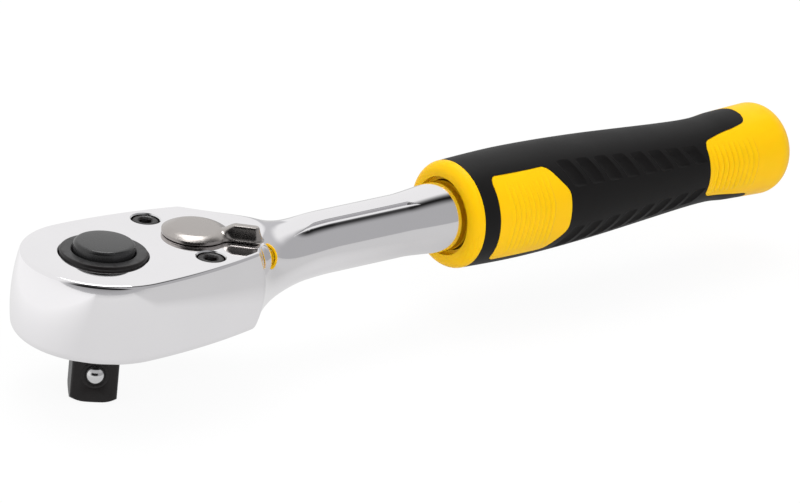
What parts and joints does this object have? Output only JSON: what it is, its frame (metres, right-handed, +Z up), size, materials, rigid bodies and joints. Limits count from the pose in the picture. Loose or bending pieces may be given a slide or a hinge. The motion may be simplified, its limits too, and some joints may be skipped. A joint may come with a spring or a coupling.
{
  "type": "reversible ratchet",
  "caption": "Pear-head reversible ratchet with a quick-release square drive, thumb reversing lever, chromed shank and a two-material contoured grip.",
  "frame": {"origin": "centre of the drive square's end face, on the drive axis", "axes": "+Z up the drive axis towards the release button, +X along the handle towards the end of the grip"},
  "size_m": [0.2017, 0.0366, 0.0343],
  "materials": {
    "chrome": "polished chrome plate",
    "satin_nickel": "satin nickel plate",
    "black_oxide": "black oxide",
    "black_plastic": "fine matte moulding",
    "bright_steel": "ground and polished",
    "spring_steel": "hardened and oiled",
    "seal_rubber": "smooth",
    "yellow_plastic": "moulded, satin gloss",
    "black_rubber": "soft-touch moulding"
  },
  "bodies": {
    "handle": {"ratchet_body": "chrome", "cover_plate": "chrome", "cover_screw_near": "black_oxide", "cover_screw_far": "black_oxide", "pawl_pin": "bright_steel", "grip_core": "yellow_plastic", "grip_overmould": "black_rubber"},
    "drive": {"drive_gear": "black_oxide", "hub_seal_ring": "seal_rubber", "button_snap_ring": "spring_steel", "release_spring": "spring_steel"},
    "button": {"release_button": "black_plastic", "release_plunger": "bright_steel"},
    "ball": {"detent_ball": "bright_steel"},
    "lever": {"reversing_lever": "satin_nickel", "lever_seal_ring": "seal_rubber", "lever_clip": "spring_steel", "pawl_spring": "spring_steel"},
    "pawl": {"pawl": "spring_steel"},
    "plunger": {"pawl_plunger": "bright_steel"}
  },
  "joints": [
    {"name": "drive_spin", "type": "hinge", "parent": "handle", "child": "drive", "pos_m": [0, 0, 0.0213], "axis": [0, 0, 1], "continuous": true},
    {"name": "button_press", "type": "slide", "parent": "drive", "child": "button", "axis": [0, 0, -1], "range_m": [0, 0.003], "stiffness_N_per_m": 600, "springref_m": -0.008, "deforming": ["release_spring"]},
    {"name": "ball_retract", "type": "slide", "parent": "drive", "child": "ball", "axis": [0.5534, 0.8329, 0], "range_m": [0, 0.0013]},
    {"name": "lever_swing", "type": "hinge", "parent": "handle", "child": "lever", "pos_m": [0.023, 0, 0.0213], "axis": [0, 0, 1], "range_deg": [0, 90]},
    {"name": "pawl_rock", "type": "hinge", "parent": "handle", "child": "pawl", "pos_m": [0.0168, 0, 0.0213], "axis": [0, 0, 1], "range_deg": [-5.5, 0]},
    {"name": "plunger_press", "type": "slide", "parent": "lever", "child": "plunger", "axis": [0.7071, -0.7071, 0], "range_m": [0, 0.0006], "stiffness_N_per_m": 400, "springref_m": -0.004, "deforming": ["pawl_spring"]}
  ],
  "couplings": [
    {"joint": "ball_retract", "follows": "button_press", "ratio": 0.43333},
    {"joint": "pawl_rock", "follows": "lever_swing", "ratio": -0.061111}
  ]
}
